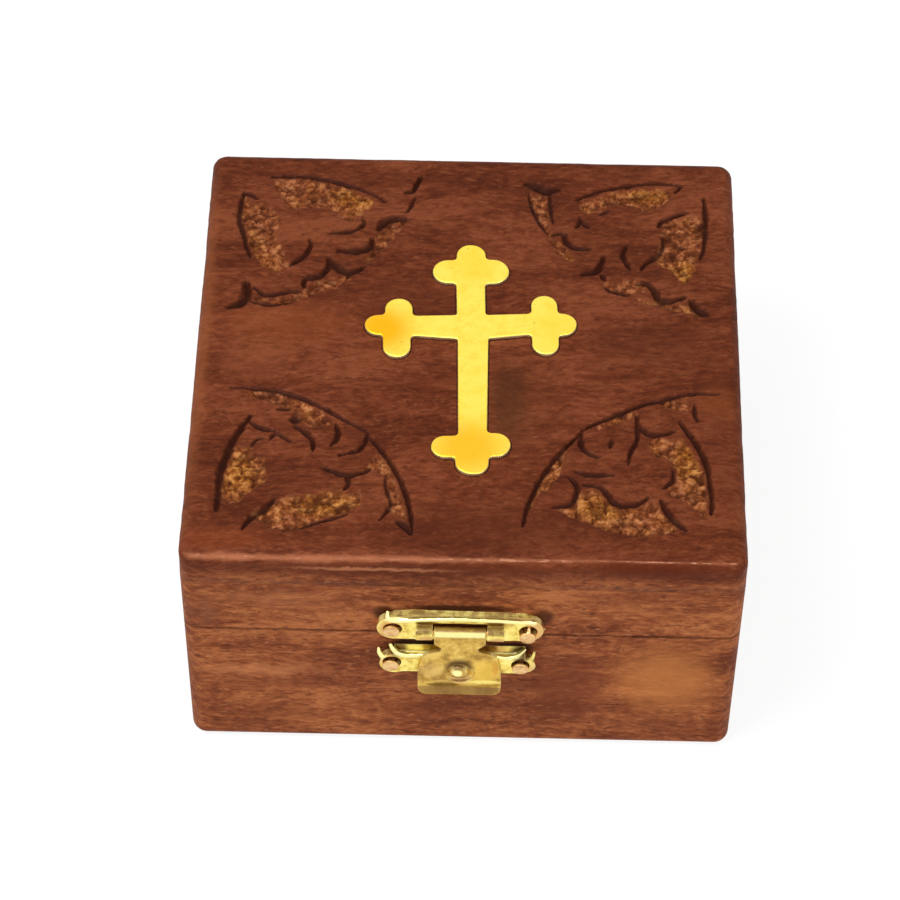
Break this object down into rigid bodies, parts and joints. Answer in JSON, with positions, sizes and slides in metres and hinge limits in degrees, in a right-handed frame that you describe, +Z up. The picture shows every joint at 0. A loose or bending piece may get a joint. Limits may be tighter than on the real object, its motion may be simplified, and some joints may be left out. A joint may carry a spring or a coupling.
{
  "type": "rosary box",
  "caption": "Small rounded hardwood box for a rosary, with a carved hinged lid, an inlaid brass cross and a swinging brass hasp on the front.",
  "frame": {"origin": "centre of the box's underside, midway between its side faces and between its front and back faces", "axes": "+Z up from the face that it rests on, -Y towards the front with the clasp, +X to the right seen from the front"},
  "size_m": [0.102, 0.1041, 0.0577],
  "materials": {
    "rosewood_board": "oiled, satin",
    "rosewood_top": "oiled, satin, carved",
    "cross_brass": "polished",
    "clasp_brass": "stamped, bright",
    "hinge_brass": "stamped, satin",
    "nail_brass": "drawn, dull",
    "velvet": "short pile velvet"
  },
  "bodies": {
    "base": {"base_front_wall": "rosewood_board", "base_back_wall": "rosewood_board", "base_left_wall": "rosewood_board", "base_right_wall": "rosewood_board", "base_bottom_panel": "rosewood_board", "base_floor_pad": "velvet", "left_hinge_base_leaf": "hinge_brass", "left_hinge_pin": "hinge_brass", "right_hinge_base_leaf": "hinge_brass", "right_hinge_pin": "hinge_brass", "hinge_base_nails": "nail_brass", "clasp_lower_plate": "clasp_brass", "clasp_lower_nails": "nail_brass"},
    "lid": {"lid_top_panel": "rosewood_top", "lid_front_rail": "rosewood_board", "lid_back_rail": "rosewood_board", "lid_left_rail": "rosewood_board", "lid_right_rail": "rosewood_board", "lid_cross": "cross_brass", "lid_pad": "velvet", "left_hinge_lid_leaf": "hinge_brass", "right_hinge_lid_leaf": "hinge_brass", "hinge_lid_nails": "nail_brass", "clasp_upper_plate": "clasp_brass", "clasp_hasp_pin": "nail_brass", "clasp_upper_nails": "nail_brass"},
    "hasp": {"clasp_hasp": "clasp_brass"}
  },
  "joints": [
    {"name": "lid_hinge", "type": "hinge", "parent": "base", "child": "lid", "pos_m": [0, 0.0475, 0.03525], "axis": [-1, 0, 0], "range_deg": [0, 105]},
    {"name": "hasp_swing", "type": "hinge", "parent": "lid", "child": "hasp", "pos_m": [-0.0003, -0.052, 0.0381], "axis": [-1, 0, 0], "range_deg": [0, 150]}
  ]
}
